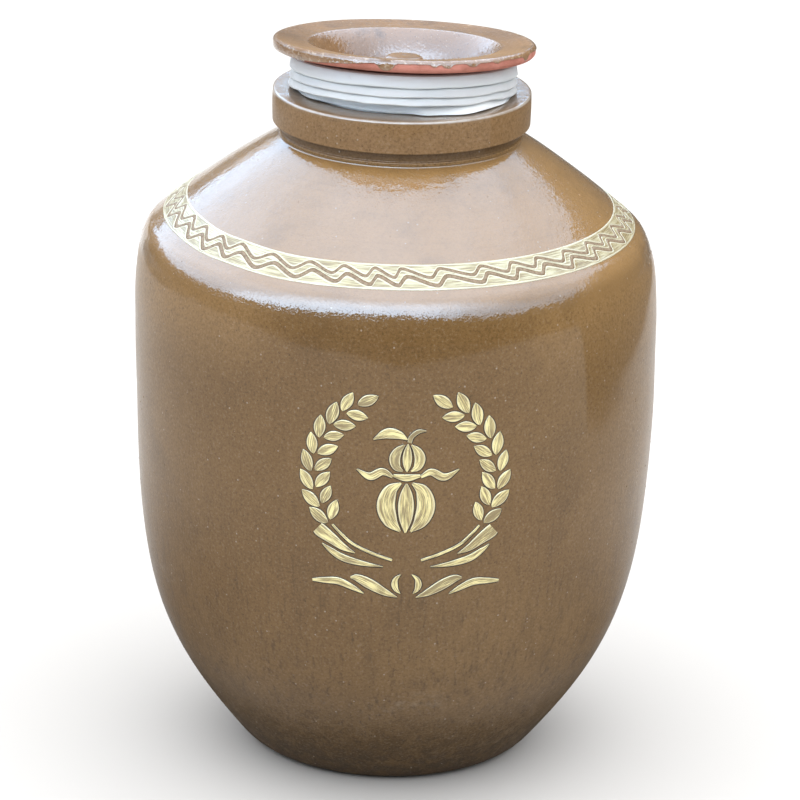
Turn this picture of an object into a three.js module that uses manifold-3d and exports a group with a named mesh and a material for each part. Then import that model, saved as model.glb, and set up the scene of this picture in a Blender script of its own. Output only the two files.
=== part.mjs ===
// Stoneware wine jar, its recessed ceramic lid and the finned seal between them. Millimetres, +Z up.
import * as THREE from 'three'
import { mergeVertices } from 'three/addons/utils/BufferGeometryUtils.js'
import Module from 'manifold-3d'

const wasm = await Module()
wasm.setup()

// Vessel
const jarHeight = 580
const bellyRadius = 222.4
const footRadius = 108
const footRingWidth = 22
const footRecess = 4
const wall = 12
const floorThickness = 16
const mouthRadius = 82
const ledgeWidth = 27
const collarHeight = 27.6
const collarBarrel = 1.6
const rimRound = 4
const neckRecess = 8
const neckHeight = 12.4

// Lid, in its own frame with the flange's underside at zero
const lidRaise = 31
const lidTilt = THREE.MathUtils.degToRad(4.5)
const plugClearance = 7
const plugTaper = 6
const plugDepth = 56
const plugRound = 9
const flangeOverhang = 1
const flangeThickness = 10
const flangeRound = 3.5
const flangeDish = 3.8
const undersideDrop = 6
const bowlFlare = 4.5
const bowlWall = 8
const bowlFloor = 12
const knobRadius = 17
const knobNeckRadius = 11
const knobSink = 4.4
const knobHeadHeight = 14

// Seal
const seatGap = 0.3
const sleeveWall = 2.5
const sleeveTail = 4
const finReach = 14
const finCount = 5
const firstFinDepth = 12
const finPitch = 7.4
const finDrop = 5
const finTip = 2
const finRoot = 3

// Facets round the axis
const jarFacets = 64
const lidFacets = 64

// Heights and radii that follow from the sizes above
const collarRadius = mouthRadius + ledgeWidth
const neckRadius = collarRadius - neckRecess
const collarFoot = jarHeight - collarHeight
const bodyHeight = collarFoot - neckHeight
const flangeRadius = collarRadius + flangeOverhang
const plugRadius = mouthRadius - plugClearance
const bowlRadius = plugRadius + bowlFlare
const finRadius = mouthRadius + finReach

const glaze = { color: 0x80613b, roughness: 0.18, metalness: 0 }
const lidGlaze = { color: 0x96764f, roughness: 0.2, metalness: 0 }
const silicone = { color: 0xdfe4e8, roughness: 0.45, metalness: 0 }

function point(r, z) {
  return new THREE.Vector2(r, z)
}

// Solid of revolution about Z from a profile of radius and height
function revolve(profile, facets) {
  const geometry = new THREE.LatheGeometry(profile, facets)
  geometry.rotateX(Math.PI / 2)
  return geometry
}

function toManifold(geometry) {
  const clean = geometry.clone()
  clean.deleteAttribute('normal')
  clean.deleteAttribute('uv')
  const merged = mergeVertices(clean, 1e-4)
  const mesh = new wasm.Mesh({
    numProp: 3,
    vertProperties: new Float32Array(merged.attributes.position.array),
    triVerts: new Uint32Array(merged.index.array),
  })
  return new wasm.Manifold(mesh)
}

function toGeometry(manifold) {
  const mesh = manifold.getMesh()
  const geometry = new THREE.BufferGeometry()
  geometry.setAttribute('position', new THREE.BufferAttribute(new Float32Array(mesh.vertProperties), 3))
  geometry.setIndex(new THREE.BufferAttribute(new Uint32Array(mesh.triVerts), 1))
  geometry.computeVertexNormals()
  return geometry
}

// Outer wall from the heel to the neck: heel round, swelling belly, shoulder corner, sloping shoulder
const heelRadius = footRadius + 25.7
const heelHeight = bodyHeight * 0.0283
const widest = bodyHeight * 0.713
const shoulderRadius = bellyRadius * 0.916
const shoulderHeight = bodyHeight * 0.8615
const heelCurve = new THREE.QuadraticBezierCurve(
  point(footRadius, 0),
  point(heelRadius - 12.1, 0),
  point(heelRadius, heelHeight),
)
const bellyCurve = new THREE.CubicBezierCurve(
  point(heelRadius, heelHeight),
  point(bellyRadius * 0.952, bodyHeight * 0.2104),
  point(bellyRadius, bodyHeight * 0.2902),
  point(bellyRadius, widest),
)
const cornerCurve = new THREE.CubicBezierCurve(
  point(bellyRadius, widest),
  point(bellyRadius, bodyHeight * 0.8489),
  point(bellyRadius * 0.938, bodyHeight * 0.8531),
  point(shoulderRadius, shoulderHeight),
)
const slopeCurve = new THREE.QuadraticBezierCurve(
  point(shoulderRadius, shoulderHeight),
  point(
    shoulderRadius + (neckRadius - shoulderRadius) * 0.591,
    shoulderHeight + (bodyHeight - shoulderHeight) * 0.674,
  ),
  point(neckRadius, bodyHeight),
)

// Points along a curve, pushed inwards by the given depth
function along(curve, steps, depth) {
  const points = []
  for (let i = 0; i <= steps; i++) {
    const t = i / steps
    const p = curve.getPoint(t)
    const d = curve.getTangent(t)
    points.push(point(p.x - depth * d.y, p.y + depth * d.x))
  }
  return points
}

function jarProfile() {
  const outside = [
    ...along(heelCurve, 3, 0),
    ...along(bellyCurve, 11, 0).slice(1),
    ...along(cornerCurve, 7, 0).slice(1),
    ...along(slopeCurve, 5, 0).slice(1),
  ]
  const inside = [
    ...along(bellyCurve, 9, wall),
    ...along(cornerCurve, 4, wall).slice(1),
    ...along(slopeCurve, 3, wall).slice(1),
  ]
  const slope = slopeCurve.getTangent(1)
  const innerTop = inside[inside.length - 1]
  const throat = innerTop.y + ((mouthRadius - innerTop.x) * slope.y) / slope.x
  const footInner = footRadius - footRingWidth
  const collarMid = collarFoot + collarHeight * 0.45
  const rimRadius = collarRadius - collarBarrel
  return [
    point(0, footRecess),
    point(footInner - footRecess, footRecess),
    point(footInner, 0),
    ...outside,
    point(neckRadius, collarFoot),
    point(rimRadius - 2, collarFoot),
    point(rimRadius, collarFoot + 2),
    point(collarRadius, collarMid),
    point(rimRadius, jarHeight - rimRound),
    point(rimRadius - rimRound * 0.3, jarHeight - rimRound * 0.3),
    point(rimRadius - rimRound, jarHeight),
    point(mouthRadius + rimRound * 0.5, jarHeight),
    point(mouthRadius, jarHeight - rimRound * 0.5),
    point(mouthRadius, throat),
    ...inside.reverse(),
    point(inside[inside.length - 1].x - wall, floorThickness),
    point(0, floorThickness),
  ]
}

function lidProfile() {
  const plugEnd = plugRadius - plugTaper
  const bowlMouth = flangeThickness - flangeDish
  const bowlThroat = plugRadius - bowlWall
  const bowlBase = plugEnd - bowlWall
  const floorTop = bowlFloor - plugDepth
  const knobTop = -knobSink
  const knobUnder = knobTop - knobHeadHeight
  return [
    point(0, -plugDepth),
    point(plugEnd - plugRound, -plugDepth),
    point(plugEnd - plugRound * 0.3, plugRound * 0.3 - plugDepth),
    point(plugEnd, plugRound - plugDepth),
    point(plugRadius, -undersideDrop),
    point(flangeRadius - flangeRound, 0),
    point(flangeRadius, flangeRound),
    point(flangeRadius, flangeThickness - flangeRound),
    point(flangeRadius - flangeRound * 0.3, flangeThickness - flangeRound * 0.3),
    point(flangeRadius - flangeRound, flangeThickness),
    point(bowlRadius + flangeRound, bowlMouth + 0.4),
    point(bowlRadius, bowlMouth - 0.6),
    point(bowlRadius - bowlWall * 0.5, bowlMouth - bowlWall * 0.4),
    point(bowlRadius - bowlWall * 0.94, bowlMouth - bowlWall),
    point(bowlThroat, -undersideDrop * 2),
    point(bowlBase + 1, floorTop + 8),
    point(bowlBase - 2, floorTop + 2),
    point(bowlBase - 8, floorTop),
    point(knobNeckRadius + 5, floorTop),
    point(knobNeckRadius + 1, floorTop + 3),
    point(knobNeckRadius, knobUnder - 4),
    point(knobNeckRadius + 2, knobUnder),
    point(knobRadius, knobUnder + 4),
    point(knobRadius, knobTop - 5),
    point(knobRadius - 2, knobTop - 2),
    point(knobRadius * 0.55, knobTop),
    point(0, knobTop),
  ]
}

// Radius of the plug's flank at a depth below the flange
function plugRadiusAt(depth) {
  return plugRadius - (plugTaper * (depth - undersideDrop)) / (plugDepth - plugRound - undersideDrop)
}

function sealProfile() {
  const top = undersideDrop + seatGap
  const lastRoot = firstFinDepth + (finCount - 1) * finPitch - finDrop
  const end = lastRoot + finRoot + sleeveTail
  const inner = (depth) => plugRadiusAt(depth) + seatGap
  const outer = (depth) => inner(depth) + sleeveWall
  const points = [point(inner(end), -end), point(outer(end), -end)]
  for (let i = finCount - 1; i >= 0; i--) {
    const tip = firstFinDepth + i * finPitch
    const root = tip - finDrop
    points.push(point(outer(root + finRoot), -(root + finRoot)))
    points.push(point(finRadius - finTip * 0.4, -tip))
    points.push(point(finRadius, finTip * 0.5 - tip))
    points.push(point(finRadius - finTip * 0.4, finTip - tip))
    points.push(point(outer(root), -root))
  }
  points.push(point(outer(top), -top))
  points.push(point(inner(top), -top))
  points.push(points[0].clone())
  return points
}

// The lid stands crooked in the mouth, its front edge up
const lidPlace = new THREE.Matrix4().makeTranslation(0, 0, jarHeight + lidRaise)
lidPlace.multiply(new THREE.Matrix4().makeRotationX(-lidTilt))

// Space the collar takes, grown by the seat gap, which the seal gives way to
function mouthKeepOut() {
  const far = finRadius + ledgeWidth
  const low = jarHeight - plugDepth * 2
  const ring = [
    point(mouthRadius - seatGap, low),
    point(far, low),
    point(far, jarHeight + seatGap),
    point(mouthRadius - seatGap, jarHeight + seatGap),
    point(mouthRadius - seatGap, low),
  ]
  return toManifold(revolve(ring, jarFacets))
}

const jarGeometry = revolve(jarProfile(), jarFacets)
const lidGeometry = revolve(lidProfile(), lidFacets).applyMatrix4(lidPlace)
const freeSeal = toManifold(revolve(sealProfile(), lidFacets).applyMatrix4(lidPlace))
const sealGeometry = toGeometry(freeSeal.subtract(mouthKeepOut()))

const group = new THREE.Group()
function add(name, geometry, finish) {
  const mesh = new THREE.Mesh(geometry, new THREE.MeshStandardMaterial(finish))
  mesh.name = name
  group.add(mesh)
}

add('jar_body', jarGeometry, glaze)
add('lid', lidGeometry, lidGlaze)
add('lid_seal', sealGeometry, silicone)

export default group
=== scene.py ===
import math
import random

import bmesh
import bpy
from mathutils import Matrix, Vector, noise


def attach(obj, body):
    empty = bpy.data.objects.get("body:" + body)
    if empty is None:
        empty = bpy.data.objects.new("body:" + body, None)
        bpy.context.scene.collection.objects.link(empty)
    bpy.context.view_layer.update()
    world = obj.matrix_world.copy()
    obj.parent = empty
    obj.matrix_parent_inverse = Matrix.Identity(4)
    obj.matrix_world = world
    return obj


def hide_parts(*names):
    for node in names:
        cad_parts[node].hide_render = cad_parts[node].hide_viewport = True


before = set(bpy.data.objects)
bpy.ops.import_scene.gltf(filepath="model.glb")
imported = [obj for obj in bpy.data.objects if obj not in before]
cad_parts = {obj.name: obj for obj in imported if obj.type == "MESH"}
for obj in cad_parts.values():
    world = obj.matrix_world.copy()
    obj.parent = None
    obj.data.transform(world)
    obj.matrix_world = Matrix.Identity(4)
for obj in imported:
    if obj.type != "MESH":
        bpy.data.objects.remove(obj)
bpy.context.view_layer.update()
scene = bpy.context.scene
scene.view_settings.view_transform = "Standard"
mm = 0.001
print("frame loaded:", sorted(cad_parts))


def addObject(name, data):
    obj = bpy.data.objects.new(name, data)
    scene.collection.objects.link(obj)
    return obj


view = {
    "place": (0.0050, -3.480, 1.5092), "down": 19.12, "roll": 1.5, "lens": 192.6, "sensor": 36.0, "far": 60.0,
}


def makeCamera():
    data = bpy.data.cameras.new("jarCamera")
    data.lens = view["lens"]
    data.sensor_width = view["sensor"]
    data.clip_end = view["far"]
    obj = addObject("jarCamera", data)
    pitch = Matrix.Rotation(math.radians(90 - view["down"]), 4, "X")
    roll = Matrix.Rotation(math.radians(view["roll"]), 4, "Z")
    obj.matrix_world = Matrix.Translation(view["place"]) @ pitch @ roll
    scene.camera = obj


makeCamera()
print("camera set")


# Plain helpers for curves and meshes

def smoothStep(low, high, x):  # works falling too, with low above high
    t = min(max((x - low) / (high - low), 0.0), 1.0)
    return t * t * (3 - 2 * t)


def tableAt(table, x):  # eased from row to row
    for (a, low), (b, high) in zip(table, table[1:]):
        if a <= x <= b:
            return low + (high - low) * smoothStep(a, b, x)
    return 0.0


def bearing(angle):  # degrees from the front, -180 to 180
    return math.degrees((angle + math.pi) % (2 * math.pi) - math.pi)


def turned(r, angle, z):  # angle from the front, growing towards +X
    return (r * math.sin(angle), -r * math.cos(angle), z)


def ringNoise(angle, reach, level, aside=(0, 0)):  # meets itself after a full turn
    across, along = math.cos(angle) * reach + aside[0], math.sin(angle) * reach + aside[1]
    return noise.noise(Vector((across, along, level)))


def bezierPath(controls, count):
    path = []
    for k in range(count):
        t = k / (count - 1)
        row = [Vector(c) for c in controls]
        while len(row) > 1:
            row = [a.lerp(b, t) for a, b in zip(row, row[1:])]
        path.append(tuple(row[0]))
    return path


def smoothPath(points, count):  # runs through every point, any number of values each
    last = len(points) - 1
    path = []
    for k in range(count):
        t = k / (count - 1) * last
        i = min(int(t), last - 1)
        f = t - i
        p1, p2 = points[i], points[i + 1]
        p0 = points[i - 1] if i > 0 else tuple(2 * a - b for a, b in zip(p1, p2))
        p3 = points[i + 2] if i + 2 <= last else tuple(2 * b - a for a, b in zip(p1, p2))
        path.append(tuple(
            0.5 * (2 * b + (c - a) * f + (2 * a - 5 * b + 4 * c - d) * f * f
                   + (3 * b - a - 3 * c + d) * f ** 3)
            for a, b, c, d in zip(p0, p1, p2, p3)
        ))
    return path


def softCorners(corners, steps=5, longest=0.004, hold=0.0):  # rows of r, z and how much the corner is rounded
    path = []
    for k, (r, z, turn) in enumerate(corners):
        here = Vector((r, z))
        if turn <= 0 or k in (0, len(corners) - 1):
            path.append(here)
            continue
        before = Vector(corners[k - 1][:2]) - here
        after = Vector(corners[k + 1][:2]) - here
        a = here + before.normalized() * min(turn, before.length * 0.49)
        b = here + after.normalized() * min(turn, after.length * 0.49)
        if hold:  # a row close by keeps the flat beside the corner flat
            path.append(a + before.normalized() * min(hold, before.length * 0.2))
        for s in range(steps + 1):
            t = s / steps
            path.append(a.lerp(here, t).lerp(here.lerp(b, t), t))
        if hold:
            path.append(b + after.normalized() * min(hold, after.length * 0.2))
    fine = [path[0]]
    for p in path[1:]:
        gap = (p - fine[-1]).length
        if gap < 1e-6:
            continue
        start = fine[-1]
        pieces = max(1, math.ceil(gap / longest))
        fine += [start.lerp(p, (s + 1) / pieces) for s in range(pieces)]
    return [tuple(p) for p in fine]


def ringMesh(rings, loop=False):  # rings of equal length joined in turn, ends capped unless they loop
    verts = [p for ring in rings for p in ring]
    n = len(rings[0])
    faces = []
    for i in range(len(rings) if loop else len(rings) - 1):
        a, b = i * n, (i + 1) % len(rings) * n
        for j in range(n):
            k = (j + 1) % n
            faces.append((a + j, a + k, b + k, b + j))
    if not loop:
        faces.append(tuple(range(n)))
        faces.append(tuple(range(len(verts) - n, len(verts))))
    return verts, faces


def addRings(verts, faces, rings, loop=False):  # adds to a mesh in the making, and counts the new points
    some, quads = ringMesh(rings, loop)
    faces += [tuple(i + len(verts) for i in quad) for quad in quads]
    verts += some
    return len(some)


def latheMesh(rows, facets, place):  # rows run from axis to axis; place(row, angle) gives each point
    verts, faces = [place(0, 0.0)], []
    inner = range(1, len(rows) - 1)
    for i in inner:
        verts += [place(i, 2 * math.pi * j / facets) for j in range(facets)]
    verts.append(place(len(rows) - 1, 0.0))
    end = len(verts) - 1
    for j in range(facets):
        k = (j + 1) % facets
        faces.append((0, 1 + k, 1 + j))
        for i in range(len(inner) - 1):
            a, b = 1 + i * facets, 1 + (i + 1) * facets
            faces.append((a + j, a + k, b + k, b + j))
        faces.append((end - facets + j, end - facets + k, end))
    return verts, faces


def addLayer(mesh, name, values):  # one value per point, for the materials to read
    mesh.attributes.new(name, "FLOAT", "POINT").data.foreach_set("value", values)


def faceOut(mesh):
    work = bmesh.new()
    work.from_mesh(mesh)
    bmesh.ops.recalc_face_normals(work, faces=work.faces[:])
    work.to_mesh(mesh)
    work.free()
    mesh.shade_smooth()


def makePiece(name, verts, faces, material, uvs=None, layers=None):
    mesh = bpy.data.meshes.new(name)
    mesh.from_pydata(verts, [], faces)
    if uvs:
        layer = mesh.uv_layers.new(name="UVMap")
        for loop in mesh.loops:
            layer.data[loop.index].uv = uvs[loop.vertex_index]
    for key, values in (layers or {}).items():
        addLayer(mesh, key, values)
    faceOut(mesh)
    if material:
        mesh.materials.append(material)
    return addObject(name, mesh)


# Node helpers, for materials and geometry alike

def feed(tree, node, inputs):  # links sockets, sets plain values
    for key, value in inputs.items():
        if isinstance(value, bpy.types.NodeSocket):
            tree.links.new(value, node.inputs[key])
        else:
            node.inputs[key].default_value = value


def addNode(tree, kind, inputs=None, **settings):
    node = tree.nodes.new(kind)
    for key, value in settings.items():
        setattr(node, key, value)
    feed(tree, node, inputs or {})
    return node


def wire(tree, kind, inputs=None, out=0, **settings):  # one output of a new node
    return addNode(tree, kind, inputs, **settings).outputs[out]


def shade(tree, kind, *rest, **settings):
    return wire(tree, "ShaderNode" + kind, *rest, **settings)


def geo(tree, kind, *rest, **settings):
    return wire(tree, "GeometryNode" + kind, *rest, **settings)


def calc(tree, operation, a, b=0.0, c=0.0, clamp=False):
    return shade(tree, "Math", {0: a, 1: b, 2: c}, operation=operation, use_clamp=clamp)


def times(tree, value, *others):
    for other in others:
        value = calc(tree, "MULTIPLY", value, other)
    return value


def plus(tree, a, b, clamp=False):
    return calc(tree, "ADD", a, b, clamp=clamp)


def point(tree, x=0.0, y=0.0, z=0.0):
    return shade(tree, "CombineXYZ", {0: x, 1: y, 2: z})


def vectorCalc(tree, operation, inputs, out=0):
    return shade(tree, "VectorMath", inputs, out, operation=operation)


def layColour(tree, share, under, over):
    return shade(tree, "Mix", {0: share, 6: under, 7: over}, 2, data_type="RGBA", blend_type="MIX")


def layCoats(tree, colour, look, coats):  # each coat says how much, and which colour of the look
    for share, over in coats:
        colour = layColour(tree, share, colour, look[over])
    return colour


def spread(tree, value, low, high, least=0.0, most=1.0):
    inputs = {0: value, 1: low, 2: high, 3: least, 4: most}
    return shade(tree, "MapRange", inputs, interpolation_type="SMOOTHSTEP")


def cloud(tree, vector, scale, detail=3.0, rough=0.55):
    inputs = {"Vector": vector, "Scale": scale, "Detail": detail, "Roughness": rough}
    return shade(tree, "TexNoise", inputs, "Fac")


def streaks(tree, vector, scale, *rest):  # a cloud drawn out more one way than another
    return cloud(tree, shade(tree, "Mapping", {"Vector": vector, "Scale": scale}), 1.0, *rest)


def bumps(tree, rows, normal=None):  # each row says height, strength and depth
    for height, strength, depth in rows:
        inputs = {"Height": height, "Strength": strength, "Distance": depth}
        if normal:
            inputs["Normal"] = normal
        normal = shade(tree, "Bump", inputs)
    return normal


def layerOf(tree, name):
    return shade(tree, "Attribute", out="Fac", attribute_name=name)


def fromAxis(tree, place):
    flat = vectorCalc(tree, "MULTIPLY", {0: place, 1: (1.0, 1.0, 0.0)})
    return vectorCalc(tree, "LENGTH", {0: flat}, "Value")


def newMaterial(name):
    material = bpy.data.materials.new(name)
    material.use_nodes = True
    tree = material.node_tree
    tree.nodes.clear()
    shader = tree.nodes.new("ShaderNodeBsdfPrincipled")
    addNode(tree, "ShaderNodeOutputMaterial", {0: shader.outputs[0]})
    return material, tree, shader, shade(tree, "TexCoord", out="Object")


def showInstead(tree, surface):  # takes the place of the plain shader
    out = [node for node in tree.nodes if node.type == "OUTPUT_MATERIAL"][0]
    tree.links.new(surface, out.inputs[0])


# Brown glaze: thin and dull on the belly, thick and wet-looking from the shoulder up
glaze = {
    "deep": (0.163, 0.090, 0.028, 1), "warm": (0.216, 0.127, 0.047, 1), "slope": (0.298, 0.179, 0.072, 1),
    "thin": (0.240, 0.143, 0.064, 1), "soil": (0.070, 0.054, 0.040, 1), "dust": (0.340, 0.280, 0.215, 1),
    "iron": (0.050, 0.028, 0.011, 1), "sealReflection": (0.270, 0.240, 0.210, 1), "lip": (0.500, 0.455, 0.400, 1),
    "bellyRough": 0.40, "shoulderRough": 0.24, "ior": 1.46, "specular": 0.10,
    "coatRough": 0.035, "coatIor": 1.80,
    "front": (-0.95, -0.80), "seat": (0.1055, 0.0985), "collarEdge": (0.1066, 0.1074), "thick": (0.4, 0.9),
}
glazeClouds = {  # scale, detail, roughness
    "broad": (3.1, 4), "mottle": (58, 5, 0.62), "cloudy": (15, 4, 0.6), "dirt": (75, 6, 0.7),
    "grain": (430, 3, 0.7), "speck": (460, 2, 0.5), "peel": (230, 3, 0.6), "pebble": (640, 2, 0.5),
    "swell": (30, 2, 0.5), "ripple": (125, 2, 0.5),
}
glazeStreaks = {  # runs and fine scrapes down the wall, turning lines, dusty smears
    "runs": ((70, 70, 2.6), 4, 0.6), "scratch": ((260, 260, 13), 3, 0.6), "wheel": ((4, 4, 520), 3),
    "smear": ((9, 9, 15), 6, 0.68),
}
glazeHeights = {
    "slope": (0.452, 0.462), "upper": (0.365, 0.440), "thin": (0.541, 0.5455), "wall": (0.08, 0.36),
    "turning": (0.540, 0.556), "foot": (0.014, 0.125), "smear": (0.15, 0.27), "neckFrom": (0.5430, 0.5452),
    "neckTo": (0.5536, 0.5524), "ledge": (0.5785, 0.5796), "lip": (0.5776, 0.5786),
}


def makeJarGlaze():
    material, tree, shader, place = newMaterial("jarGlaze")
    _, depth, height = addNode(tree, "ShaderNodeSeparateXYZ", {0: place}).outputs
    inner = layerOf(tree, "inner")
    wet = layerOf(tree, "wet")
    out = fromAxis(tree, place)
    seen = {name: cloud(tree, place, *size) for name, size in glazeClouds.items()}
    seen.update({name: streaks(tree, place, *size) for name, size in glazeStreaks.items()})

    def spot(name, low, high, least=0.0, most=1.0):
        return spread(tree, seen[name], low, high, least, most)

    def rise(name, least=0.0, most=1.0):
        return spread(tree, height, *glazeHeights[name], least, most)

    def thicker(least, most):
        return spread(tree, wet, *glaze["thick"], least, most)

    slope = spread(tree, plus(tree, height, times(tree, seen["mottle"], 0.006)), *glazeHeights["slope"])
    # painted light: lighter towards the sides than at the front
    paintedSideLight = spread(tree, calc(tree, "DIVIDE", depth, out), *glaze["front"])
    low = rise("wall", 1.0, 0.15)
    dirt = times(tree, rise("foot", 1.0, 0.0), spot("dirt", 0.28, 0.62, 0.50, 1.0))
    coarse = spread(tree, wet, 0.3, 1.0, 1.0, 0.25)  # the thick glaze is smoother
    seat = times(tree, rise("ledge"), spread(tree, out, *glaze["seat"]))
    lip = times(tree, rise("lip"), spread(tree, out, *glaze["collarEdge"]))
    cells = addNode(tree, "ShaderNodeTexVoronoi", {"Vector": place, "Scale": 120.0}).outputs
    pins = calc(tree, "LESS_THAN", cells["Distance"], 0.095)
    some = calc(tree, "GREATER_THAN", shade(tree, "SeparateXYZ", {0: cells["Color"]}), 0.66)
    colour = layColour(tree, spot("broad", 0.3, 0.7), glaze["deep"], glaze["warm"])
    colour = layCoats(tree, colour, glaze, (
        (slope, "slope"),
        (times(tree, rise("upper", 0.0, 0.62), paintedSideLight), "slope"),  # painted light: paler below the corner and towards the sides, less in front
        (rise("thin"), "thin"),
        (spot("mottle", 0.42, 0.74, 0.0, 0.30), "warm"),
        (spot("cloudy", 0.50, 0.75, 0.0, 0.22), "iron"),
        (times(tree, spot("runs", 0.45, 0.72), low, 0.20), "iron"),
        (times(tree, spot("scratch", 0.50, 0.74), rise("wall", 0.55, 0.0)), "iron"),
        (times(tree, spot("wheel", 0.50, 0.75), rise("turning", 0.06, 0.13)), "iron"),
        (times(tree, dirt, 0.86), "soil"),  # thicker towards the foot, with dusty smears in it
        (times(tree, spot("smear", 0.60, 0.74), rise("smear", 0.40, 0.0)), "dust"),
        (times(tree, spot("grain", 0.47, 0.68, 0.0, 0.40), coarse), "iron"),
        (times(tree, spot("grain", 0.46, 0.28, 0.0, 0.26), coarse), "dust"),
        (times(tree, spot("speck", 0.66, 0.74, 0.0, 0.60), coarse), "iron"),
        # painted shade: darker in the neck, under the collar's edge
        (times(tree, rise("neckFrom"), rise("neckTo"), 0.40), "iron"),
        (times(tree, seat, spot("mottle", 0.30, 0.62, 0.92, 0.55)), "sealReflection"),  # painted reflection of the seal: grey on the ledge where the seal rests
        # painted highlight: a pale line along the collar's top edge
        (times(tree, lip, spot("mottle", 0.40, 0.60, 0.75, 0.45)), "lip"),
        (times(tree, pins, some, 0.75), "dust"),  # pale pinheads
        (times(tree, inner, 0.55), "deep"),
    ))
    rough = spread(tree, wet, 0.0, 1.0, glaze["bellyRough"], glaze["shoulderRough"])
    rough = plus(tree, rough, times(tree, seen["mottle"], 0.10))
    pebble = spot("pebble", 0.48, 0.80)
    slick = bumps(tree, (  # flat on the belly, rippled where thick
        (seen["swell"], thicker(0.02, 0.22), 0.0012), (seen["ripple"], thicker(0.015, 0.30), 0.0010),
        (seen["peel"], thicker(0.02, 0.06), 0.0005), (pebble, thicker(0.05, 0.18), 0.0004),
    ))
    scraped = times(tree, seen["scratch"], low)
    feed(tree, shader, {
        "Base Color": colour,
        "Roughness": plus(tree, rough, times(tree, dirt, 0.35), clamp=True),
        "IOR": glaze["ior"],
        "Specular IOR Level": glaze["specular"],
        "Coat Weight": times(tree, wet, spread(tree, dirt, 0.1, 0.7, 1.0, 0.0)),
        "Coat Roughness": glaze["coatRough"],
        "Coat IOR": glaze["coatIor"],
        "Coat Normal": slick,
        "Normal": bumps(tree, (
            (seen["peel"], 0.20, 0.0005), (pebble, 0.30, 0.0004), (scraped, 0.35, 0.0005)), slick),
    })
    return material


jarGlaze = makeJarGlaze()

scrapedLook = {"pale": (0.270, 0.190, 0.115, 1), "dark": (0.160, 0.102, 0.052, 1), "grain": (420, 4, 0.65)}


def makeScraped():  # dull glaze laid bare where a point was drawn through the gold
    material, tree, shader, place = newMaterial("scrapedGlaze")
    grain = cloud(tree, place, *scrapedLook["grain"])
    worn = spread(tree, grain, 0.35, 0.68)
    feed(tree, shader, {
        "Base Color": layColour(tree, worn, scrapedLook["pale"], scrapedLook["dark"]),
        "Roughness": spread(tree, grain, 0.3, 0.7, 0.42, 0.62),
        "Normal": bumps(tree, ((grain, 0.4, 0.0004),)),
    })
    return material


scrapedGlaze = makeScraped()

lidLook = {
    "deep": (0.120, 0.065, 0.025, 1), "warm": (0.232, 0.131, 0.056, 1), "iron": (0.058, 0.032, 0.014, 1),
    "chip": (0.500, 0.400, 0.300, 1), "bowl": (0.285, 0.168, 0.086, 1), "clay": (0.560, 0.240, 0.195, 1),
    "clayDark": (0.400, 0.160, 0.120, 1), "clayPale": (0.600, 0.380, 0.320, 1),
    "rings": 420.0, "ringWaver": 5.0, "rim": (0.1035, 0.1085),
    "ior": 1.46, "specular": 0.08, "coatRough": 0.06, "coatIor": 1.85,
}
lidClouds = {  # scale, detail, roughness
    "broad": (9, 4), "mottle": (85, 5, 0.62), "blotch": (32, 5, 0.65), "speck": (430, 2),
    "worn": (240, 3, 0.65), "sand": (900, 3, 0.7), "clay": (60, 5), "swell": (70, 2), "peel": (260, 3),
}


def makeLidGlaze():
    material, tree, shader, place = newMaterial("lidGlaze")
    bare = layerOf(tree, "bare")
    wet = layerOf(tree, "wet")
    out = fromAxis(tree, place)
    seen = {name: cloud(tree, place, *size) for name, size in lidClouds.items()}

    def spot(name, low, high, least=0.0, most=1.0):
        return spread(tree, seen[name], low, high, least, most)

    away = calc(tree, "MULTIPLY_ADD", out, lidLook["rings"], times(tree, seen["broad"], lidLook["ringWaver"]))
    turning = cloud(tree, point(tree, away), 1.0, 3)  # rings left by the wheel
    clay = layColour(tree, spot("clay", 0.35, 0.7), lidLook["clay"], lidLook["clayDark"])
    clay = layColour(tree, spot("sand", 0.56, 0.75, 0.0, 0.5), clay, lidLook["clayPale"])
    edge = plus(tree, bare, times(tree, calc(tree, "SUBTRACT", seen["mottle"], 0.5), 0.5))
    edge = spread(tree, edge, 0.42, 0.58)
    colour = layColour(tree, spot("broad", 0.32, 0.68), lidLook["deep"], lidLook["warm"])
    colour = layCoats(tree, colour, lidLook, (
        (spot("mottle", 0.4, 0.75, 0.0, 0.4), "warm"),
        (spread(tree, turning, 0.48, 0.72, 0.0, 0.40), "iron"),
        (spread(tree, wet, 0.6, 0.95, 0.0, 0.65), "bowl"),
        (spot("blotch", 0.52, 0.72, 0.0, 0.45), "iron"),
        (spot("speck", 0.64, 0.73, 0.0, 0.6), "iron"),
        (spot("speck", 0.34, 0.27, 0.0, 0.55), "chip"),
        # pale worn chips along the rim's outer edge, partly real wear and partly a painted highlight
        (times(tree, spot("worn", 0.56, 0.66), spread(tree, out, *lidLook["rim"], 0.0, 0.65)), "chip"),
    ))
    normal = bumps(tree, (
        (seen["swell"], 0.4, 0.0011), (seen["peel"], 0.70, 0.0006), (seen["speck"], 0.75, 0.0005),
        (times(tree, seen["sand"], edge), 0.5, 0.0004),
    ))
    feed(tree, shader, {
        "Base Color": layColour(tree, edge, colour, clay),
        "Roughness": plus(tree, spread(tree, edge, 0.0, 1.0, 0.30, 0.78), times(tree, seen["mottle"], 0.12)),
        "IOR": lidLook["ior"],
        "Specular IOR Level": lidLook["specular"],
        "Coat Weight": times(tree, wet, spread(tree, edge, 0.0, 1.0, 1.0, 0.0)),
        "Coat Roughness": lidLook["coatRough"],
        "Coat IOR": lidLook["coatIor"],
        "Coat Normal": normal,
        "Normal": normal,
    })
    return material


lidGlaze = makeLidGlaze()

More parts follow.
